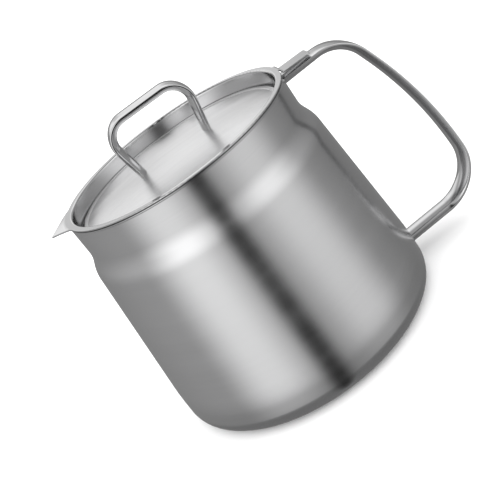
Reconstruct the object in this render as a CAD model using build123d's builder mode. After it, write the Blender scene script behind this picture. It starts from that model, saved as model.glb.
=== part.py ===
from build123d import *
import os
from math import atan2, radians, tan

os.makedirs("parts", exist_ok=True)

# Stainless grease pot with a drop-in strainer and a lid, in millimetres.
# +Z is up and the pot's axis is the Z axis. The base stands on z = 0, the pouring beak
# points along -X and the handle stands out along +X.

# ---------------------------------------------------------------- driving dimensions
# Pot: outside of the sheet
pot_sheet = 0.8
pot_height = 123.1
neck_radius = 60.9
neck_height = 18.9
shoulder_width = 3.7
shoulder_height = 8.0
base_radius = 73.4
knee_height = 20.0
foot_tuck = 1.5
neck_bend = 16.0
shoulder_bend = 16.0
knee_bend = 150.0
base_corner = 9.0
rim_band_height = 1.1
rim_band_proud = 0.3
rim_band_edge = 0.25

# Pot handle: one bent strap with bulging faces, level out of the neck, down in a slow bow and back to the wall
strap_width = 13.0
strap_thickness = 4.2
strap_outer_crown = 0.4
strap_inner_crown = 2.6
strap_edge_round = 0.4
handle_top_below_rim = 5.8
handle_top_rise = 1.4
handle_top_reach = 33.4
handle_bow_reach = 53.1
handle_bow_drop = 46.6
handle_low_reach = 45.1
handle_low_z = 14.4
handle_foot_z = 11.6
handle_top_bend = 20.3
handle_low_bend = 22.8
handle_straight = 2.6
handle_end_inset = 4.0

# Strainer pan
pan_sheet = 0.8
rim_overhang = 0.3
rim_width = 3.5
rim_bend = 1.1
recess_depth = 9.2
recess_draft = 0.9
ledge_width = 5.6
ledge_bend = 1.5
ledge_corner = 0.5
basket_depth = 28.0
basket_draft = 6.0
basket_corner = 3.0
basket_flange = 7.5
beak_fall_degrees = 11.5
beak_bend = 6.0
beak_reach = 9.8
beak_half_width = 18.0
beak_tip_round = 1.3
beak_root_round = 9.0
tab_reach = 16.6
tab_half_width = 5.65
tab_corner_round = 1.6
tab_step_drop = 2.0
tab_step_run = 0.8
tab_step_bend = 1.1
tab_step_hollow = 0.5
rim_edge_round = 0.3

# Wire cloth and its ring
cloth_thickness = 0.5
cloth_lap = 4.5
ring_thickness = 0.8
ring_margin = 0.6

# Lid
lid_sheet = 0.8
lid_gap = 0.8
lid_rise = 5.3
roll_width = 2.6
roll_height = 2.0
roll_round = 0.9

# Lid handle: one bent strap with bulging faces
lid_strap_width = 14.0
lid_strap_thickness = 4.2
lid_strap_outer_crown = 0.6
lid_strap_inner_crown = 2.6
lid_strap_edge_round = 0.4
lid_foot_half_span = 18.2
lid_top_half_span = 22.9
lid_handle_height = 26.5
lid_handle_bend = 10.0

# Clearances, and how far an upright face's normal may lean
weld_gap = 0.03
band_gap = 0.2
cut_margin = 2.0
upright_tolerance = 0.001

# ---------------------------------------------------------------- derived places
shoulder_top = pot_height - neck_height
shoulder_bottom = shoulder_top - shoulder_height
body_top_radius = neck_radius + shoulder_width
# The wall widens in a straight line towards the base, and above the table it is tucked in a little
knee_radius = base_radius - knee_height * (base_radius - body_top_radius) / shoulder_bottom
foot_radius = base_radius - foot_tuck
rim_plane = pot_height + pan_sheet
rim_radius = neck_radius + rim_overhang
recess_top_radius = rim_radius - rim_width
recess_floor_radius = recess_top_radius - recess_draft
ledge_plane = rim_plane - recess_depth
basket_top_radius = recess_floor_radius - ledge_width
basket_floor_radius = basket_top_radius - basket_draft
basket_floor = ledge_plane - basket_depth
mesh_opening_radius = basket_floor_radius - basket_flange
beak_tip_x = -(rim_radius + beak_reach)
beak_root_x = -recess_top_radius
tab_end_x = rim_radius + tab_reach
outline_reach = rim_radius + beak_reach + cut_margin
# The sheet stays level until it is clear of the pot's rim band, then falls away to the beak's tip
beak_fall = radians(beak_fall_degrees)
band_clear = neck_radius + rim_band_proud + band_gap
beak_start = band_clear + beak_bend * tan(beak_fall / 2)
beak_outer_z = rim_plane - (outline_reach - beak_start) * tan(beak_fall)
# The tab steps down beside the rim band and then runs level above the pot's handle
tab_root_x = recess_top_radius + rim_bend
tab_step_x = band_clear + pan_sheet * tan(atan2(tab_step_drop, tab_step_run) / 2)
tab_plane = rim_plane - tab_step_drop
handle_top_z = pot_height - handle_top_below_rim
handle_bend_z = handle_top_z + handle_top_rise
handle_corners = [
    (neck_radius - handle_end_inset, handle_top_z),
    (neck_radius + handle_top_reach, handle_bend_z),
    (neck_radius + handle_bow_reach, handle_bend_z - handle_bow_drop),
    (base_radius + handle_low_reach, handle_low_z),
    (base_radius - handle_end_inset, handle_foot_z),
]


def half_turn(before, corner, after):
    """Half the angle that a path of straight runs turns by at a corner, in radians."""
    arriving = Vector(corner) - Vector(before)
    leaving = Vector(after) - Vector(corner)
    return radians(arriving.get_angle(leaving)) / 2


def room_beside_bend(corner, neighbour, bend, half_angle):
    """Straight that the bend at the neighbouring corner leaves free on the run between two corners."""
    run = (Vector(neighbour) - Vector(corner)).length
    return run - bend * tan(half_angle) - handle_straight


# The bow is as slow as the bends above and below it leave room for
bow_room = min(
    room_beside_bend(handle_corners[2], handle_corners[1], handle_top_bend, half_turn(*handle_corners[0:3])),
    room_beside_bend(handle_corners[2], handle_corners[3], handle_low_bend, half_turn(*handle_corners[2:5])),
)
handle_bow_bend = bow_room / tan(half_turn(*handle_corners[1:4]))


def strap_section(path, width, thickness, outer_crown, inner_crown, edge_round):
    """Section of a bent strap at the start of its path, its outer face towards local +Y."""
    start = Plane(origin=path @ 0, x_dir=(0, 1, 0), z_dir=path % 0)
    with BuildSketch(start) as section:
        Rectangle(width, thickness)
        for side, crown in ((1, outer_crown), (-1, inner_crown)):
            radius = (width**2 / 4 + crown**2) / (2 * crown)
            with Locations((0, side * (thickness / 2 - radius))):
                Circle(radius, mode=Mode.INTERSECT)
        fillet(section.vertices(), edge_round)
    return section.sketch


def pot_outline(grow=0.0):
    """Outside of the pot as a closed half section, from the axis to the rim and back."""
    outer = FilletPolyline(
        (0, -grow),
        (foot_radius + grow, -grow),
        (knee_radius + grow, knee_height),
        (body_top_radius + grow, shoulder_bottom),
        (neck_radius + grow, shoulder_top),
        (neck_radius + grow, pot_height),
        radius=[base_corner + grow, knee_bend + grow, shoulder_bend + grow, neck_bend - grow],
    )
    Polyline(outer @ 1, (0, pot_height), (0, -grow))


# ---------------------------------------------------------------- pot body
with BuildPart() as pot_body:
    with BuildSketch(Plane.XZ):
        with BuildLine():
            pot_outline()
        make_face()
    revolve(axis=Axis.Z)
    offset(amount=-pot_sheet, openings=pot_body.faces().sort_by(Axis.Z)[-1])
    # Rim band: the edge of the sheet turned out and pressed flat against the neck
    with BuildSketch(Plane.XZ) as band:
        with Locations((neck_radius - pot_sheet, pot_height)):
            Rectangle(pot_sheet + rim_band_proud, rim_band_height, align=(Align.MIN, Align.MAX))
        fillet(band.vertices().group_by(Axis.X)[-1], rim_band_edge)
    revolve(axis=Axis.Z)
pot_body.part.label = "pot_body"
export_step(pot_body.part, "parts/pot_body.step")

# ---------------------------------------------------------------- pot handle
with BuildPart() as pot_handle:
    with BuildLine(Plane.XZ) as handle_path:
        FilletPolyline(*handle_corners, radius=[handle_top_bend, handle_bow_bend, handle_low_bend])
    handle_section = strap_section(
        handle_path.line,
        strap_width,
        strap_thickness,
        strap_outer_crown,
        strap_inner_crown,
        strap_edge_round,
    )
    sweep(handle_section, path=handle_path.line)
    # Both ends are cut to the pot's own shape, where they are welded on
    with BuildSketch(Plane.XZ):
        with BuildLine():
            pot_outline(weld_gap)
        make_face()
    revolve(axis=Axis.Z, mode=Mode.SUBTRACT)
pot_handle.part.label = "pot_handle"
export_step(pot_handle.part, "parts/pot_handle.step")

# ---------------------------------------------------------------- strainer pan
def upright(face):
    """Whether a face stands straight up."""
    return abs(face.normal_at().Z) < upright_tolerance


with BuildPart() as strainer_pan:
    # Half section of the sheet, wide enough at the rim to cut the beak from
    with BuildSketch(Plane.XZ):
        with BuildLine() as pan_section:
            FilletPolyline(
                (outline_reach, beak_outer_z),
                (beak_start, rim_plane),
                (recess_top_radius, rim_plane),
                (recess_floor_radius, ledge_plane),
                (basket_top_radius, ledge_plane),
                (basket_floor_radius, basket_floor),
                (mesh_opening_radius, basket_floor),
                radius=[beak_bend, rim_bend, ledge_corner, ledge_bend, basket_corner],
            )
            offset(amount=pan_sheet, side=Side.LEFT)
        make_face()
    revolve(axis=Axis.Z)
    # Plan of the rim: a ring with the beak on one side
    with BuildSketch() as rim_plan:
        Circle(rim_radius)
        with BuildLine():
            Polyline(
                (beak_root_x, beak_half_width),
                (beak_tip_x, 0),
                (beak_root_x, -beak_half_width),
                close=True,
            )
        make_face()
        fillet(rim_plan.vertices().sort_by(Axis.X)[0], beak_tip_round)
        fillet(rim_plan.vertices().sort_by(Axis.X)[1:3], beak_root_round)
    extrude(amount=rim_plane + pan_sheet, mode=Mode.INTERSECT)
    # Break both edges of the cut sheet, all the way round the outline
    rim_faces = strainer_pan.faces().filter_by(upright).filter_by_position(Axis.Z, ledge_plane, rim_plane)
    fillet(rim_faces.edges().filter_by(Axis.Z, reverse=True), rim_edge_round)
    # Lifting tab: a strip of the same sheet, stepped down off the ring
    with BuildPart() as tab:
        with BuildSketch(Plane.XZ):
            with BuildLine():
                FilletPolyline(
                    (tab_end_x, tab_plane),
                    (tab_step_x + tab_step_run, tab_plane),
                    (tab_step_x, rim_plane),
                    (tab_root_x, rim_plane),
                    radius=[tab_step_hollow, tab_step_bend],
                )
                offset(amount=pan_sheet, side=Side.LEFT)
            make_face()
        extrude(amount=tab_half_width, both=True)
        fillet(tab.edges().filter_by(Axis.Z).group_by(Axis.X)[-1], tab_corner_round)
        tab_faces = tab.faces().filter_by(upright).sort_by(Axis.X)[1:]
        fillet(tab_faces.edges().filter_by(Axis.Z, reverse=True), rim_edge_round)
strainer_pan.part.label = "strainer_pan"
export_step(strainer_pan.part, "parts/strainer_pan.step")

# ---------------------------------------------------------------- wire cloth
cloth_top = basket_floor - pan_sheet
cloth_radius = mesh_opening_radius + cloth_lap
with BuildPart() as strainer_mesh:
    with BuildSketch(Plane.XY.offset(cloth_top)):
        Circle(cloth_radius)
    extrude(amount=-cloth_thickness)
strainer_mesh.part.label = "strainer_mesh"
export_step(strainer_mesh.part, "parts/strainer_mesh.step")

# ---------------------------------------------------------------- ring under the wire cloth
with BuildPart() as mesh_ring:
    with BuildSketch(Plane.XY.offset(cloth_top - cloth_thickness)):
        Circle(cloth_radius + ring_margin)
        Circle(mesh_opening_radius, mode=Mode.SUBTRACT)
    extrude(amount=-ring_thickness)
mesh_ring.part.label = "mesh_ring"
export_step(mesh_ring.part, "parts/mesh_ring.step")

# ---------------------------------------------------------------- lid
lid_radius = recess_floor_radius - lid_gap
roll_centre_radius = lid_radius - roll_width / 2
roll_centre_z = ledge_plane + roll_height / 2
dome_foot = roll_centre_z + lid_sheet / 2
dome_crown = dome_foot + lid_rise


def dome(height):
    """Top line of the domed sheet, from one side of the rolled edge to the other, raised by a height."""
    return ThreePointArc(
        (-roll_centre_radius, dome_foot + height),
        (0, dome_crown + height),
        (roll_centre_radius, dome_foot + height),
    )


with BuildPart() as lid_plate:
    with BuildSketch(Plane.XZ):
        with BuildLine():
            top = dome(0)
            under = dome(-lid_sheet)
            Line(top @ 0, under @ 0)
            Line(top @ 1, under @ 1)
        make_face()
        with Locations((roll_centre_radius, roll_centre_z)):
            RectangleRounded(roll_width, roll_height, roll_round)
        split(bisect_by=Plane.YZ, keep=Keep.TOP)
    revolve(axis=Axis.Z)
lid_plate.part.label = "lid_plate"
export_step(lid_plate.part, "parts/lid_plate.step")

# ---------------------------------------------------------------- lid handle
arch_top_z = dome_crown + lid_handle_height
with BuildPart() as lid_handle:
    with BuildLine(Plane.XZ) as arch_path:
        FilletPolyline(
            (-lid_foot_half_span, dome_foot),
            (-lid_top_half_span, arch_top_z),
            (lid_top_half_span, arch_top_z),
            (lid_foot_half_span, dome_foot),
            radius=lid_handle_bend,
        )
    arch_section = strap_section(
        arch_path.line,
        lid_strap_width,
        lid_strap_thickness,
        lid_strap_outer_crown,
        lid_strap_inner_crown,
        lid_strap_edge_round,
    )
    sweep(arch_section, path=arch_path.line)
    # Both feet are cut to the dome that they are welded on
    with BuildSketch(Plane.XZ):
        with BuildLine():
            seat = dome(weld_gap)
            Polyline(seat @ 0, (-roll_centre_radius, 0), (roll_centre_radius, 0), seat @ 1)
        make_face()
        split(bisect_by=Plane.YZ, keep=Keep.TOP)
    revolve(axis=Axis.Z, mode=Mode.SUBTRACT)
lid_handle.part.label = "lid_handle"
export_step(lid_handle.part, "parts/lid_handle.step")
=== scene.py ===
import math

import bmesh
import bpy
from bpy.props import FloatProperty, FloatVectorProperty, IntProperty, PointerProperty
from mathutils import Matrix, Vector


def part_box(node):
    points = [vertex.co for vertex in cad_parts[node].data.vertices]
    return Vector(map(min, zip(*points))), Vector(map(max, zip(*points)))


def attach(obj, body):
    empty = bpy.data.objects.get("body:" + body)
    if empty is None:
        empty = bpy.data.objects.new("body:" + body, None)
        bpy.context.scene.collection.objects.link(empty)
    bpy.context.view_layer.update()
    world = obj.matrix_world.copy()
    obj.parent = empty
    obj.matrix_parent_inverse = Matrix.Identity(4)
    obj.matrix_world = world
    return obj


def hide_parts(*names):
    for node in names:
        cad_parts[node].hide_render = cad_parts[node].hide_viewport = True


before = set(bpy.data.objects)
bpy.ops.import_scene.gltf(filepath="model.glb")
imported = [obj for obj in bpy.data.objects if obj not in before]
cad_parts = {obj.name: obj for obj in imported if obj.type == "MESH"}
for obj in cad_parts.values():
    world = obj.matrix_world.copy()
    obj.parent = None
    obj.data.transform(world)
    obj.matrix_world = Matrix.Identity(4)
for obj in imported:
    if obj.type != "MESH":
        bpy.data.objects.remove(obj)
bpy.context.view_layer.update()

bl_info = {
    "name": "Grease pot with strainer",
    "version": (1, 0, 0),
    "blender": (4, 5, 0),
    "location": "View3D > Sidebar > Grease Pot",
    "description": "Builds a stainless grease pot with its strap handle, drop-in strainer and lid",
    "category": "Add Mesh",
}

pot_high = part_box("pot_body")[1]
cloth_low, cloth_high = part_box("strainer_mesh")
ring_low, ring_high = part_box("mesh_ring")
lid_low, lid_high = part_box("lid_plate")

FULL_TURN = 2 * math.pi
UP = Vector((0, 0, 1))
ACROSS = Vector((0, 1, 0))

# Points closer than this are one point
MERGE = 1e-6
# Edges that turn by more than this stay sharp
SHARP_FROM = math.radians(50)

# Steps of each round stretch
POT_BEND_STEPS = 16
BAND_EDGE_STEPS = 3
STRAP_BEND_STEPS = 24
STRAP_CROWN_STEPS = 20
STRAP_EDGE_STEPS = 5
RING_EDGE_STEPS = 3
DOME_STEPS = 28
ROLL_STEPS = 6


def length(name, description, default):
    return FloatProperty(name=name, description=description, default=default, unit="LENGTH", precision=5)


def steel_tint(name, description, default):
    return FloatVectorProperty(
        name=name, description=description, default=default, subtype="COLOR", size=3, min=0, max=1
    )


def share(name, description, default):
    return FloatProperty(name=name, description=description, default=default, min=0, subtype="FACTOR")


def strength(name, description, default):
    return FloatProperty(name=name, description=description, default=default, min=0)


def turn(name, description, default):
    return FloatProperty(name=name, description=description, default=math.radians(default), subtype="ANGLE")


# ---------------------------------------------------------------- sizes and finishes
class PotSizes(bpy.types.PropertyGroup):
    height: length("Height", "From the table to the rim", pot_high.z)
    sheet: length("Sheet", "Thickness of the pot's sheet", 0.0008)
    neck_radius: length("Neck radius", "Outside of the straight neck", 0.0609)
    neck_height: length("Neck height", "Rim down to the shoulder's upper corner", 0.0189)
    shoulder_width: length("Shoulder width", "How far the shoulder steps out", 0.0037)
    shoulder_height: length("Shoulder height", "Between the shoulder's two corners", 0.008)
    base_radius: length("Base radius", "Where the wall's line meets the table", 0.0734)
    knee_height: length("Knee height", "Height at which the wall is tucked in", 0.02)
    foot_tuck: length("Foot tuck", "How far the foot is tucked in", 0.0015)
    neck_bend: length("Neck bend", "Radius of the shoulder's upper bend", 0.016)
    shoulder_bend: length("Shoulder bend", "Radius of the shoulder's lower bend", 0.016)
    knee_bend: length("Knee bend", "Radius of the bend at the knee", 0.15)
    base_corner: length("Base corner", "Radius between the wall and the bottom", 0.009)
    band_height: length("Rim band height", "Height of the band under the rim", 0.0011)
    band_proud: length("Rim band", "How far the rim band stands out", 0.0003)
    band_edge: length("Rim band edge", "Rounding of the rim band", 0.0004)
    facets: IntProperty(name="Facets", description="Steps round each turned piece", default=192, min=24)


class HandleSizes(bpy.types.PropertyGroup):
    width: length("Width", "Width of the strap", 0.013)
    thickness: length("Thickness", "Thickness of the strap", 0.0042)
    outer_crown: length("Outer crown", "How far the strap's outer face bulges", 0.0004)
    inner_crown: length("Inner crown", "How far the strap's inner face bulges", 0.0026)
    edge: length("Edge", "Rounding of the strap's edges", 0.0004)
    top_drop: length("Top drop", "Rim down to the strap's upper end", 0.0058)
    top_rise: length("Top rise", "Rise of the upper run", 0.0014)
    top_reach: length("Top reach", "Neck to the upper bend", 0.0334)
    bow_reach: length("Bow reach", "Neck to the bow's corner", 0.0531)
    bow_drop: length("Bow drop", "Upper bend down to the bow's corner", 0.0466)
    low_reach: length("Low reach", "Base to the lower bend", 0.0451)
    low_height: length("Low height", "Table to the lower bend", 0.0144)
    foot_height: length("Foot height", "Table to the strap's lower end", 0.0116)
    top_bend: length("Top bend", "Radius of the upper bend", 0.0203)
    bow_bend: length("Bow bend", "Radius of the slow bow", 0.2)
    low_bend: length("Low bend", "Radius of the lower bend", 0.0228)


class StrainerSizes(bpy.types.PropertyGroup):
    wire: length("Wire", "Diameter of the cloth's wires", (cloth_high.z - cloth_low.z) / 2)
    pitch: length("Pitch", "From wire to wire", 0.0014)
    opening: length("Opening radius", "Hole in the ring under the cloth", 0.0377)
    ring_edge: length("Ring edge", "Rounding of the ring", 0.0002)


class LidSizes(bpy.types.PropertyGroup):
    sheet: length("Sheet", "Thickness of the domed sheet", 0.0008)
    roll_width: length("Roll width", "Width of the rolled edge", 0.0026)
    roll_height: length("Roll height", "Height of the rolled edge", 0.002)
    roll_round: length("Roll rounding", "Rounding of the rolled edge", 0.0009)
    strap_width: length("Strap width", "Width of the handle's strap", 0.014)
    strap_thickness: length("Strap thickness", "Thickness of the handle's strap", 0.0042)
    outer_crown: length("Outer crown", "How far the strap's outer face bulges", 0.0006)
    inner_crown: length("Inner crown", "How far the strap's inner face bulges", 0.0026)
    strap_edge: length("Strap edge", "Rounding of the strap's edges", 0.0004)
    foot_half_span: length("Foot half span", "Axis to the strap's feet", 0.0182)
    top_half_span: length("Top half span", "Axis to the arch's corners", 0.0229)
    handle_height: length("Handle height", "Crown of the lid to the top of the arch", 0.0265)
    handle_bend: length("Handle bend", "Radius of the arch's bends", 0.01)


class SteelFinish(bpy.types.PropertyGroup):
    pot_tint: steel_tint("Pot", "Reflected colour of the satin pot", (0.65, 0.65, 0.655))
    strap_tint: steel_tint("Straps", "Reflected colour of both straps", (0.69, 0.69, 0.695))
    sheet_tint: steel_tint("Strainer", "Reflected colour of the strainer", (0.68, 0.68, 0.685))
    lid_tint: steel_tint("Lid", "Reflected colour of the lid", (0.94, 0.94, 0.945))
    wire_tint: steel_tint("Wire", "Reflected colour of the wire cloth", (0.55, 0.55, 0.56))
    pot_roughness: share("Pot roughness", "Roughness of the pot", 0.2)
    strap_roughness: share("Strap roughness", "Roughness of the straps", 0.09)
    sheet_roughness: share("Sheet roughness", "Roughness of the strainer", 0.11)
    lid_roughness: share("Lid roughness", "Roughness of the lid", 0.32)


class StageSettings(bpy.types.PropertyGroup):
    floor_tint: steel_tint("Floor", "Colour of the floor", (0.93, 0.93, 0.93))
    floor_size: length("Floor size", "Side of the floor", 60.0)
    room_light: strength("Room", "Even light from all round, which isn't mirrored", 1.7)
    front_wall: strength("Front wall", "Mirrored light of the walls in front", 0.42)
    back_corner: strength("Back corners", "Mirrored light of the walls towards the back", 0.25)
    left_box: strength("Left soft box", "Light that the soft box on the beak's side adds", 0.7)
    right_box: strength("Right soft box", "Light that the soft box on the handle's side adds", 0.5)
    gap: share("Gap", "How dark the gap between the soft boxes is", 0.95)
    back_wall: strength("Back wall", "Mirrored light of the white wall behind", 1.1)
    below: strength("Below", "Mirrored light of everything below the table's far edge", 0.22)
    lens: FloatProperty(name="Lens", description="Focal length in millimetres", default=66.229)
    camera_place: FloatVectorProperty(
        name="Camera", description="Place of the camera", default=(0.00091, -0.42267, 0.23279), unit="LENGTH"
    )
    camera_aim: FloatVectorProperty(
        name="Aim", description="Point that the camera looks at", default=(0.00091, 0, 0.05706), unit="LENGTH"
    )
    camera_roll: turn("Roll", "Turn of the camera about its own line of sight", -36.319)


class GreasePot(bpy.types.PropertyGroup):
    pot: PointerProperty(type=PotSizes)
    handle: PointerProperty(type=HandleSizes)
    strainer: PointerProperty(type=StrainerSizes)
    lid: PointerProperty(type=LidSizes)
    finish: PointerProperty(type=SteelFinish)
    stage: PointerProperty(type=StageSettings)


# ---------------------------------------------------------------- modelling helpers
def run(bm, tip, shift):
    """Draws the tip straight on: a vertex leaves a wire, and a closed section leaves a tube."""
    made = bmesh.ops.spin(bm, geom=tip, cent=(0, 0, 0), axis=UP, dvec=shift, angle=0, steps=1)
    return made["geom_last"]


def swing(bm, tip, centre, axis, angle, steps):
    """Draws the tip round a centre."""
    made = bmesh.ops.spin(bm, geom=tip, cent=centre, axis=axis, angle=angle, steps=steps)
    return made["geom_last"]


def bend_along(bm, corners, bends, steps, tip=None):
    """Draws the tip along corners in the XZ plane, with a round bend at each inner corner.

    Without a tip, a new vertex at the first corner is drawn into a wire.
    """
    points = [Vector((x, 0, z)) for x, z in corners]
    place = points[0]
    if tip is None:
        tip = [bm.verts.new(place)]
    for before, corner, after, bend in zip(points, points[1:], points[2:], bends):
        arriving = (corner - before).normalized()
        leaving = (after - corner).normalized()
        angle = arriving.angle(leaving)
        cut = bend * math.tan(angle / 2)
        bend_start = corner - arriving * cut
        tip = run(bm, tip, bend_start - place)
        if bend > 0:
            axis = arriving.cross(leaving).normalized()
            centre = bend_start + axis.cross(arriving) * bend
            tip = swing(bm, tip, centre, axis, angle, steps)
        place = corner + leaving * cut
    return run(bm, tip, points[-1] - place)


def turned(bm, facets):
    """Spins the wire about the pot's axis."""
    wire = bm.verts[:] + bm.edges[:]
    bmesh.ops.spin(bm, geom=wire, cent=(0, 0, 0), axis=UP, angle=FULL_TURN, steps=facets, use_merge=True)
    bmesh.ops.remove_doubles(bm, verts=bm.verts[:], dist=MERGE)
    bmesh.ops.recalc_face_normals(bm, faces=bm.faces[:])


def arc(x, y, radius, start, end, steps):
    """Points of an arc from one angle to another."""
    angles = [start + (end - start) * step / steps for step in range(steps + 1)]
    return [(x + radius * math.cos(angle), y + radius * math.sin(angle)) for angle in angles]


def crowned_half(width, thickness, crown, edge):
    """Half of a strap's outline, from one side over the bulging face to the other side."""
    radius = (width ** 2 / 4 + crown ** 2) / (2 * crown)
    middle = thickness / 2 - radius
    side = width / 2 - edge
    level = middle + math.sqrt((radius - edge) ** 2 - side ** 2)
    lean = math.atan2(side, level - middle)
    top = FULL_TURN / 4
    return (
        arc(side, level, edge, 0, top - lean, STRAP_EDGE_STEPS)
        + arc(0, middle, radius, top - lean, top + lean, STRAP_CROWN_STEPS)[1:-1]
        + arc(-side, level, edge, top + lean, 2 * top, STRAP_EDGE_STEPS)
    )


def strap_outline(width, thickness, outer_crown, inner_crown, edge):
    """Outline of a strap as places across it and outwards."""
    inner = crowned_half(width, thickness, inner_crown, edge)
    return crowned_half(width, thickness, outer_crown, edge) + [(-x, -y) for x, y in inner]


def strap(corners, bends, outline):
    """Strap with its outline drawn along corners in the XZ plane, and its ends cut square and closed."""
    bm = bmesh.new()
    start, following = (Vector((x, 0, z)) for x, z in corners[:2])
    out = (following - start).cross(ACROSS).normalized()
    section = [bm.verts.new(start + ACROSS * x + out * y) for x, y in outline]
    edges = [bm.edges.new(pair) for pair in zip(section, section[1:] + section[:1])]
    bend_along(bm, corners, bends, STRAP_BEND_STEPS, section + edges)
    bmesh.ops.holes_fill(bm, edges=bm.edges[:])
    bmesh.ops.recalc_face_normals(bm, faces=bm.faces[:])
    return bm


def woven_disc(context, radius, middle, pitch, wire):
    """Round wire cloth, its wires going over and under each other in turn."""
    half = wire / 2
    weave = bpy.data.curves.new("weave", "CURVE")
    weave.dimensions = "3D"
    weave.bevel_depth = half
    weave.bevel_resolution = 0
    weave.use_fill_caps = True
    count = int(radius / pitch)
    for across in (False, True):
        for row in range(-count, count + 1):
            offset = row * pitch
            reach = math.sqrt(max(radius ** 2 - offset ** 2, 0)) - half
            steps = int(reach / (pitch / 2))
            if steps < 1:
                continue
            strand = weave.splines.new("POLY")
            strand.points.add(2 * steps)
            for point, step in zip(strand.points, range(-steps, steps + 1)):
                lift = half * math.cos(math.pi * (step / 2 + row)) * (-1 if across else 1)
                along = step * pitch / 2
                x, y = (offset, along) if across else (along, offset)
                point.co = (x, y, middle + lift, 1)
    holder = bpy.data.objects.new("weave", weave)
    context.scene.collection.objects.link(holder)
    woven = bpy.data.meshes.new_from_object(holder.evaluated_get(context.evaluated_depsgraph_get()))
    bpy.data.objects.remove(holder)
    bm = bmesh.new()
    bm.from_mesh(woven)
    bpy.data.meshes.remove(woven)
    bmesh.ops.remove_doubles(bm, verts=bm.verts[:], dist=MERGE)
    return bm


def piece_from(bm, name, material, sharp_from=SHARP_FROM):
    """Smooth-shaded object from a finished bmesh."""
    mesh = bpy.data.meshes.new(name)
    bm.to_mesh(mesh)
    bm.free()
    mesh.shade_smooth()
    mesh.set_sharp_from_angle(angle=sharp_from)
    mesh.materials.append(material)
    piece = bpy.data.objects.new(name, mesh)
    bpy.context.scene.collection.objects.link(piece)
    return piece


def stand_for(piece, node, body):
    """Lets the piece ride its body in place of a solid."""
    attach(piece, body)
    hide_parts(node)


# ---------------------------------------------------------------- materials
# Brush lines: strength and depth of their bump, and the slow noise's scale beside the fine one's
GRAIN_BUMP = 0.04
GRAIN_DEPTH = 0.0001
SLOW_SCALE = 0.03
# How far the roughness drifts either way while the slow noise goes from its low to its high
DRIFT = 0.03
SLOW_LOW, SLOW_HIGH = 0.3, 0.7
# Weight of the slow noise beside the fine one in the streaks, and what brings their sum near 1
SLOW_WEIGHT = 1.5
STREAK_GAIN = 0.4
# Share of the tint left in the painted shade under the strainer's ring, and in the dullest streaks
PAINTED_SHADE_SHARE = 0.2
DULLEST_SHARE = 0.84
# Sockets of a Mix node that mixes colours
MIX_FACTOR, MIX_FIRST, MIX_SECOND, MIX_RESULT = 0, 6, 7, 2


def add_node(tree, kind, inputs=None, **settings):
    """Shader node with its settings and inputs, each input a value or another node's socket."""
    made = tree.nodes.new(kind)
    for name, value in settings.items():
        setattr(made, name, value)
    for key, value in (inputs or {}).items():
        if isinstance(value, bpy.types.NodeSocket):
            tree.links.new(value, made.inputs[key])
        else:
            made.inputs[key].default_value = value
    return made


def math_node(tree, operation, first, second=0.0, third=0.0):
    """Result of one sum on values or sockets."""
    made = add_node(tree, "ShaderNodeMath", {0: first, 1: second, 2: third}, operation=operation)
    return made.outputs[0]


def mixed(tree, factor, first, second):
    """Colour between two others, each a colour or a socket."""
    inputs = {MIX_FACTOR: factor, MIX_FIRST: first, MIX_SECOND: second}
    return add_node(tree, "ShaderNodeMix", inputs, data_type="RGBA").outputs[MIX_RESULT]


def dimmed(tint, share_left):
    """A share of the tint, as a colour with alpha."""
    return (*(share_left * c for c in tint), 1)


def turned_lines(tree, place, per_metre):
    """Coordinates in which noise becomes lines turned round the pot's axis, and the height."""
    level = add_node(tree, "ShaderNodeVectorMath", {0: place, 1: (1, 1, 0)}, operation="MULTIPLY")
    radius = add_node(tree, "ShaderNodeVectorMath", {0: level.outputs[0]}, operation="LENGTH")
    height = add_node(tree, "ShaderNodeSeparateXYZ", {0: place}).outputs["Z"]
    flat = add_node(tree, "ShaderNodeCombineXYZ", {"X": radius.outputs["Value"], "Z": height})
    scale = {"Vector": flat.outputs[0], "Scale": (per_metre, 1, per_metre)}
    return add_node(tree, "ShaderNodeMapping", scale).outputs[0], height


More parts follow.
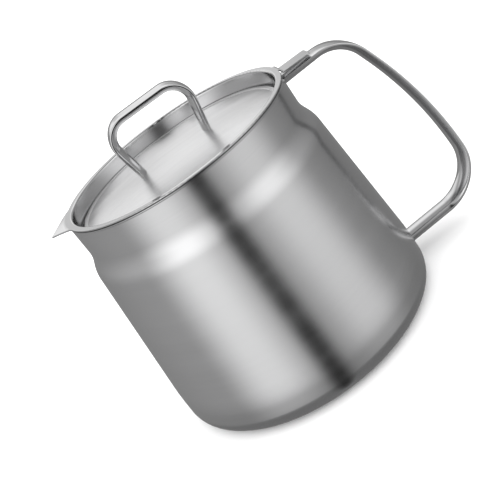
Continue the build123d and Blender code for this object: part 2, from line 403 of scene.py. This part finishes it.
def brushed_steel(name, tint, roughness, grain, dullest=DULLEST_SHARE, painted_shade_height=None):
    """Satin steel: brush lines, and slow changes of roughness and tint, on object coordinates.

    grain is a scale per axis for straight lines, or one number for lines turned round the pot's
    axis. Where a height is given, turned steel above it gets painted shade, a dark band for the shadow under
    the strainer's ring.
    """
    material = bpy.data.materials.new(name)
    material.use_nodes = True
    tree = material.node_tree
    shader = tree.nodes["Principled BSDF"]
    shader.inputs["Metallic"].default_value = 1.0
    place = add_node(tree, "ShaderNodeTexCoord").outputs["Object"]
    if isinstance(grain, tuple):
        lines = add_node(tree, "ShaderNodeMapping", {"Vector": place, "Scale": grain}).outputs[0]
    else:
        lines, height = turned_lines(tree, place, grain)
    fine = add_node(tree, "ShaderNodeTexNoise", {"Vector": lines, "Scale": 1.0, "Detail": 2.0})
    slow = add_node(tree, "ShaderNodeTexNoise", {"Vector": lines, "Scale": SLOW_SCALE, "Detail": 3.0})
    drift = add_node(tree, "ShaderNodeMapRange", {
        "Value": slow.outputs["Fac"], "From Min": SLOW_LOW, "From Max": SLOW_HIGH,
        "To Min": roughness - DRIFT, "To Max": roughness + DRIFT,
    })
    tree.links.new(drift.outputs["Result"], shader.inputs["Roughness"])
    streaks = math_node(tree, "MULTIPLY_ADD", slow.outputs["Fac"], SLOW_WEIGHT, fine.outputs["Fac"])
    streaks = math_node(tree, "MULTIPLY", streaks, STREAK_GAIN)
    tone = mixed(tree, streaks, dimmed(tint, dullest), dimmed(tint, 1))
    # Painted shade: above the given height the tint drops to a small share, standing in for the shadow under
    # the strainer's ring
    if painted_shade_height is not None:
        in_painted_shade = math_node(tree, "GREATER_THAN", height, painted_shade_height)
        tone = mixed(tree, in_painted_shade, tone, dimmed(tint, PAINTED_SHADE_SHARE))
    tree.links.new(tone, shader.inputs["Base Color"])
    bump = add_node(tree, "ShaderNodeBump", {
        "Height": fine.outputs["Fac"], "Strength": GRAIN_BUMP, "Distance": GRAIN_DEPTH,
    })
    tree.links.new(bump.outputs["Normal"], shader.inputs["Normal"])


def floor_paint(tint):
    """Dull paint without a highlight, very slightly uneven."""
    material = bpy.data.materials.new("floor_paint")
    material.use_nodes = True
    tree = material.node_tree
    shader = tree.nodes["Principled BSDF"]
    shader.inputs["Roughness"].default_value = 0.9
    shader.inputs["Specular IOR Level"].default_value = 0.0
    place = add_node(tree, "ShaderNodeTexCoord").outputs["Object"]
    cloud = add_node(tree, "ShaderNodeTexNoise", {"Vector": place, "Scale": 3.0})
    tone = mixed(tree, cloud.outputs["Fac"], dimmed(tint, 0.99), dimmed(tint, 1))
    tree.links.new(tone, shader.inputs["Base Color"])
    return material


def dress_node(name, material):
    """Gives a solid that keeps its own mesh a finished material."""
    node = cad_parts[name]
    node.data.materials.clear()
    node.data.materials.append(material)


# ---------------------------------------------------------------- the pieces
class POT_OT_steel(bpy.types.Operator):
    """Make the steel finishes that the pieces share"""

    bl_idname = "grease_pot.steel"
    bl_label = "Steel finishes"

    def execute(self, context):
        finish = context.scene.grease_pot.finish
        pot = context.scene.grease_pot.pot
        # Painted shade: the top third of the rim band is painted dark, standing in for the shadow under the
        # strainer's ring
        ring_shadow_height = pot.height - pot.band_height / 3
        # Noise cells per metre: many across the brush lines and few along them
        sheet_grain = 2600
        lid_grain = (60, 2600, 2600)
        strap_grain = (40, 3500, 40)
        wire_grain = (900, 900, 900)
        lid_dullest = 0.55
        brushed_steel(
            "satin_pot_steel", finish.pot_tint, finish.pot_roughness, sheet_grain, painted_shade_height=ring_shadow_height
        )
        brushed_steel("strap_steel_finish", finish.strap_tint, finish.strap_roughness, strap_grain)
        brushed_steel("pan_steel_finish", finish.sheet_tint, finish.sheet_roughness, sheet_grain)
        brushed_steel("lid_steel_finish", finish.lid_tint, finish.lid_roughness, lid_grain, lid_dullest)
        brushed_steel("wire_steel_finish", finish.wire_tint, finish.strap_roughness, wire_grain)
        return {"FINISHED"}


class POT_OT_body(bpy.types.Operator):
    """Turn the pot, give it its wall and press out the band under its rim"""

    bl_idname = "grease_pot.body"
    bl_label = "Pot body"

    def execute(self, context):
        size = context.scene.grease_pot.pot
        shoulder_top = size.height - size.neck_height
        shoulder_bottom = shoulder_top - size.shoulder_height
        body_top = size.neck_radius + size.shoulder_width
        lean = (size.base_radius - body_top) / shoulder_bottom
        band_bottom = size.height - size.band_height
        corners = [
            (0, 0),
            (size.base_radius - size.foot_tuck, 0),
            (size.base_radius - size.knee_height * lean, size.knee_height),
            (body_top, shoulder_bottom),
            (size.neck_radius, shoulder_top),
            (size.neck_radius, band_bottom),
            (size.neck_radius, size.height),
        ]
        bends = [size.base_corner, size.knee_bend, size.shoulder_bend, size.neck_bend, 0]
        bm = bmesh.new()
        bend_along(bm, corners, bends, POT_BEND_STEPS)
        turned(bm, size.facets)
        bmesh.ops.solidify(bm, geom=bm.faces[:], thickness=size.sheet)

        # The band is the outside of the sheet's last stretch, without the rim's level top
        outside = size.neck_radius - size.sheet / 2
        band = []
        for face in bm.faces:
            centre = face.calc_center_median()
            upright = abs(face.normal.z) < 0.5
            if upright and centre.z > band_bottom and centre.xy.length > outside:
                band.append(face)
        made = bmesh.ops.extrude_face_region(bm, geom=band)
        bmesh.ops.delete(bm, geom=band, context="FACES")
        stretch = (size.neck_radius + size.band_proud) / size.neck_radius
        moved = [g for g in made["geom"] if isinstance(g, bmesh.types.BMVert)]
        bmesh.ops.scale(bm, verts=moved, vec=(stretch, stretch, 1))
        bmesh.ops.recalc_face_normals(bm, faces=bm.faces[:])
        proud = size.neck_radius + size.band_proud / 2
        band_edges = [
            e for e in bm.edges
            if min(v.co.xy.length for v in e.verts) > proud and abs(e.verts[0].co.z - e.verts[1].co.z) < MERGE
        ]
        bmesh.ops.bevel(
            bm, geom=band_edges, offset=size.band_edge, offset_type="OFFSET", segments=BAND_EDGE_STEPS,
            profile=0.5, affect="EDGES", material=-1,
        )
        pot = piece_from(bm, "pot_shell", bpy.data.materials["satin_pot_steel"])
        stand_for(pot, "pot_body", "pot")
        return {"FINISHED"}


class POT_OT_handle(bpy.types.Operator):
    """Bend the pot's strap handle"""

    bl_idname = "grease_pot.handle"
    bl_label = "Pot handle"

    def execute(self, context):
        pot = context.scene.grease_pot.pot
        size = context.scene.grease_pot.handle
        top = pot.height - size.top_drop
        bend = top + size.top_rise
        corners = [
            (pot.neck_radius - pot.sheet / 2, top),
            (pot.neck_radius + size.top_reach, bend),
            (pot.neck_radius + size.bow_reach, bend - size.bow_drop),
            (pot.base_radius + size.low_reach, size.low_height),
            (pot.base_radius - pot.foot_tuck - pot.sheet, size.foot_height),
        ]
        bends = [size.top_bend, size.bow_bend, size.low_bend]
        outline = strap_outline(size.width, size.thickness, size.outer_crown, size.inner_crown, size.edge)
        bm = strap(corners, bends, outline)
        handle = piece_from(bm, "pot_strap_handle", bpy.data.materials["strap_steel_finish"])
        stand_for(handle, "pot_handle", "pot")
        return {"FINISHED"}


class POT_OT_strainer_pan(bpy.types.Operator):
    """Finish the strainer's pan"""

    bl_idname = "grease_pot.strainer_pan"
    bl_label = "Strainer pan"

    def execute(self, context):
        dress_node("strainer_pan", bpy.data.materials["pan_steel_finish"])
        return {"FINISHED"}


class POT_OT_cloth(bpy.types.Operator):
    """Weave the strainer's wire cloth and turn the ring that holds it"""

    bl_idname = "grease_pot.cloth"
    bl_label = "Wire cloth and ring"

    def execute(self, context):
        size = context.scene.grease_pot.strainer
        middle = (cloth_low.z + cloth_high.z) / 2
        bm = woven_disc(context, cloth_high.x, middle, size.pitch, size.wire)
        # The wires are smooth all round
        cloth = piece_from(bm, "woven_cloth", bpy.data.materials["wire_steel_finish"], sharp_from=math.pi)
        stand_for(cloth, "strainer_mesh", "strainer")

        outside = ring_high.x
        ring_middle = (ring_low.z + ring_high.z) / 2
        corners = [
            (size.opening, ring_middle),
            (size.opening, ring_high.z),
            (outside, ring_high.z),
            (outside, ring_low.z),
            (size.opening, ring_low.z),
            (size.opening, ring_middle),
        ]
        bm = bmesh.new()
        bend_along(bm, corners, [size.ring_edge] * 4, RING_EDGE_STEPS)
        turned(bm, context.scene.grease_pot.pot.facets)
        ring = piece_from(bm, "cloth_ring", bpy.data.materials["pan_steel_finish"])
        stand_for(ring, "mesh_ring", "strainer")
        return {"FINISHED"}


class POT_OT_lid(bpy.types.Operator):
    """Turn the domed lid and bend its handle"""

    bl_idname = "grease_pot.lid"
    bl_label = "Lid"

    def execute(self, context):
        size = context.scene.grease_pot.lid
        rim = lid_high.x
        roll_inside = rim - size.roll_width
        roll_middle = rim - size.roll_width / 2
        roll_top = lid_low.z + size.roll_height
        dome_foot = lid_low.z + size.roll_height / 2 + size.sheet / 2
        rise = lid_high.z - dome_foot
        sphere = (roll_middle ** 2 + rise ** 2) / (2 * rise)
        centre = Vector((0, 0, lid_high.z - sphere))

        def dome_at(x):
            return centre.z + math.sqrt(sphere ** 2 - x ** 2)

        # The dome runs a little way over the roll, and a small crease joins the two
        meet = roll_inside + size.roll_round / 8
        crease = size.roll_round / 5
        lip = size.roll_round / 3
        corners = [
            (meet, dome_at(meet)),
            (meet + lip, roll_top),
            (rim, roll_top),
            (rim, lid_low.z),
            (roll_inside, lid_low.z),
            (roll_inside, dome_at(roll_inside) - size.sheet),
        ]
        bends = [crease, size.roll_round, size.roll_round, lip]
        bm = bmesh.new()
        crown = bm.verts.new((0, 0, lid_high.z))
        tip = swing(bm, [crown], centre, ACROSS, math.asin(meet / sphere), DOME_STEPS)
        tip = bend_along(bm, corners, bends, ROLL_STEPS, tip)
        inner = sphere - size.sheet
        lean = math.asin(roll_inside / inner)
        foot = centre + Vector((math.sin(lean), 0, math.cos(lean))) * inner
        tip = run(bm, tip, foot - Vector((corners[-1][0], 0, corners[-1][1])))
        swing(bm, tip, centre, ACROSS, -lean, DOME_STEPS)
        turned(bm, context.scene.grease_pot.pot.facets)
        plate = piece_from(bm, "lid_dome", bpy.data.materials["lid_steel_finish"])
        stand_for(plate, "lid_plate", "lid")

        arch_top = lid_high.z + size.handle_height
        seat = dome_at(size.foot_half_span) - size.sheet / 2
        corners = [
            (-size.foot_half_span, seat),
            (-size.top_half_span, arch_top),
            (size.top_half_span, arch_top),
            (size.foot_half_span, seat),
        ]
        outline = strap_outline(
            size.strap_width, size.strap_thickness, size.outer_crown, size.inner_crown, size.strap_edge
        )
        bm = strap(corners, [size.handle_bend] * 2, outline)
        arch = piece_from(bm, "lid_strap_handle", bpy.data.materials["strap_steel_finish"])
        stand_for(arch, "lid_handle", "lid")
        return {"FINISHED"}


# ---------------------------------------------------------------- the stage
def ramp(tree, value, low, high, at_low, at_high):
    """Smooth change between two angles in degrees."""
    made = add_node(tree, "ShaderNodeMapRange", {
        "Value": value, "From Min": low, "From Max": high, "To Min": at_low, "To Max": at_high,
    }, interpolation_type="SMOOTHSTEP")
    return made.outputs["Result"]


def smooth_window(tree, value, middle, full, gone):
    """1 within full of the middle, falling smoothly to 0 at gone, on angles in degrees."""
    away = math_node(tree, "ABSOLUTE", math_node(tree, "SUBTRACT", value, middle))
    return ramp(tree, away, full, gone, 1.0, 0.0)


def studio_light(tree, settings):
    """Mirrored light: two soft boxes, a dark gap between them, grey walls and a white wall behind.

    Angles are in degrees as seen from the pot. The bearing is 0 straight in front and grows towards
    the handle, and the rise is the height above the horizon.
    """
    def times(first, second):
        return math_node(tree, "MULTIPLY", first, second)

    def plus(first, second):
        return math_node(tree, "ADD", first, second)

    way = add_node(tree, "ShaderNodeTexCoord").outputs["Generated"]
    part = add_node(tree, "ShaderNodeSeparateXYZ", {0: way})
    front = times(part.outputs["Y"], -1.0)
    bearing = math_node(tree, "DEGREES", math_node(tree, "ARCTAN2", part.outputs["X"], front))
    rise = math_node(tree, "DEGREES", math_node(tree, "ARCSINE", part.outputs["Z"]))
    spread = math_node(tree, "ABSOLUTE", bearing)

    # Grey walls, which darken towards the back and meet there in one tone
    fall_off = settings.back_corner / settings.front_wall
    right_wall = ramp(
        tree, bearing, low=60.0, high=135.0, at_low=settings.front_wall, at_high=settings.back_corner
    )
    left_wall = ramp(tree, bearing, low=-180.0, high=-90.0, at_low=fall_off, at_high=1.0)
    left_box = times(smooth_window(tree, bearing, middle=-42.0, full=4.0, gone=44.0), settings.left_box)
    right_box = times(smooth_window(tree, bearing, middle=48.0, full=4.0, gone=42.0), settings.right_box)
    light = plus(times(right_wall, left_wall), plus(left_box, right_box))
    light = times(light, ramp(tree, rise, low=-20.0, high=24.0, at_low=1.0, at_high=1.5))
    # Below the table's far edge everything fades to one dark grey
    kept = ramp(tree, rise, low=-34.0, high=-24.0, at_low=0.0, at_high=1.0)
    above_grey = math_node(tree, "SUBTRACT", light, settings.below)
    light = math_node(tree, "MULTIPLY_ADD", above_grey, kept, settings.below)
    gap = times(smooth_window(tree, bearing, middle=0.0, full=3.0, gone=14.5), -settings.gap)
    light = times(light, plus(gap, 1.0))
    # The white wall behind, with two upright strips that are dim low down and bright higher up,
    # the left one narrower and weaker
    behind = ramp(tree, spread, low=120.0, high=165.0, at_low=0.0, at_high=1.0)
    above = ramp(tree, rise, low=2.0, high=10.0, at_low=0.0, at_high=1.0)
    right_strip = smooth_window(tree, bearing, middle=158.0, full=8.0, gone=22.0)
    left_strip = smooth_window(tree, bearing, middle=-173.0, full=2.0, gone=7.0)
    left_strip_share = 0.66
    shade = ramp(tree, rise, low=18.0, high=27.0, at_low=-0.5, at_high=0.15)
    strips = times(plus(right_strip, times(left_strip, left_strip_share)), shade)
    back = times(times(times(behind, above), settings.back_wall), plus(strips, 1.0))
    light = math_node(tree, "MAXIMUM", light, back)
    # Dark straight overhead
    return times(light, ramp(tree, rise, low=42.0, high=66.0, at_low=1.0, at_high=0.36))


def studio_world(settings):
    """World in which mirrored rays see the studio and all other rays see the same even light."""
    world = bpy.data.worlds.new("studio")
    world.use_nodes = True
    # The light is even to all rays but mirrored ones, so none is aimed at it
    world.cycles.sampling_method = "NONE"
    tree = world.node_tree
    tree.nodes.clear()
    white = (1, 1, 1, 1)
    mirrored = studio_light(tree, settings)
    studio = add_node(tree, "ShaderNodeBackground", {"Color": white, "Strength": mirrored})
    plain = add_node(tree, "ShaderNodeBackground", {"Color": white, "Strength": settings.room_light})
    ray = add_node(tree, "ShaderNodeLightPath")
    both = add_node(tree, "ShaderNodeMixShader", {
        0: ray.outputs["Is Glossy Ray"], 1: plain.outputs[0], 2: studio.outputs[0],
    })
    out = add_node(tree, "ShaderNodeOutputWorld")
    tree.links.new(both.outputs[0], out.inputs["Surface"])
    return world


def pale_floor(settings):
    """Floor at the table's height, which the steel doesn't mirror."""
    bm = bmesh.new()
    bmesh.ops.create_grid(bm, x_segments=1, y_segments=1, size=settings.floor_size / 2)
    mesh = bpy.data.meshes.new("floor")
    bm.to_mesh(mesh)
    bm.free()
    mesh.materials.append(floor_paint(settings.floor_tint))
    floor = bpy.data.objects.new("floor", mesh)
    bpy.context.scene.collection.objects.link(floor)
    floor.visible_glossy = False
    return floor


def rolled_camera(settings):
    """Camera at its place, aimed and then turned about its line of sight."""
    camera_data = bpy.data.cameras.new("camera")
    camera_data.lens = settings.lens
    camera_data.sensor_width = 36.0
    camera_data.clip_start = 0.01
    camera = bpy.data.objects.new("camera", camera_data)
    place = Vector(settings.camera_place)
    ahead = (Vector(settings.camera_aim) - place).normalized()
    right = ahead.cross(UP).normalized()
    over = right.cross(ahead)
    level = Matrix((right, over, -ahead)).transposed()
    roll = Matrix.Rotation(settings.camera_roll, 3, "Z")
    camera.matrix_world = Matrix.LocRotScale(place, (level @ roll).to_quaternion(), None)
    bpy.context.scene.collection.objects.link(camera)
    return camera


class POT_OT_stage(bpy.types.Operator):
    """Set up the pale floor, the soft studio light and the camera"""

    bl_idname = "grease_pot.stage"
    bl_label = "Stage"

    def execute(self, context):
        settings = context.scene.grease_pot.stage
        pale_floor(settings)
        context.scene.world = studio_world(settings)
        context.scene.view_settings.view_transform = "Standard"
        context.scene.camera = rolled_camera(settings)
        return {"FINISHED"}


class POT_PT_sidebar(bpy.types.Panel):
    bl_idname = "POT_PT_sidebar"
    bl_label = "Grease Pot"
    bl_space_type = "VIEW_3D"
    bl_region_type = "UI"
    bl_category = "Grease Pot"

    def draw(self, context):
        for step in STEPS:
            self.layout.operator(step.bl_idname)
        for group in ("pot", "handle", "strainer", "lid", "finish", "stage"):
            box = self.layout.box()
            box.label(text=group.capitalize())
            settings = getattr(context.scene.grease_pot, group)
            for name in settings.bl_rna.properties.keys():
                if name not in ("rna_type", "name"):
                    box.prop(settings, name)


STEPS = (
    POT_OT_steel, POT_OT_body, POT_OT_handle, POT_OT_strainer_pan, POT_OT_cloth, POT_OT_lid, POT_OT_stage,
)
GROUPS = (PotSizes, HandleSizes, StrainerSizes, LidSizes, SteelFinish, StageSettings, GreasePot)


def register():
    for cls in (*GROUPS, *STEPS, POT_PT_sidebar):
        bpy.utils.register_class(cls)
    bpy.types.Scene.grease_pot = PointerProperty(type=GreasePot)


def unregister():
    del bpy.types.Scene.grease_pot
    for cls in reversed((*GROUPS, *STEPS, POT_PT_sidebar)):
        bpy.utils.unregister_class(cls)


def main():
    register()
    for step in STEPS:
        group, name = step.bl_idname.split(".")
        getattr(getattr(bpy.ops, group), name)()


if __name__ == "__main__":
    main()
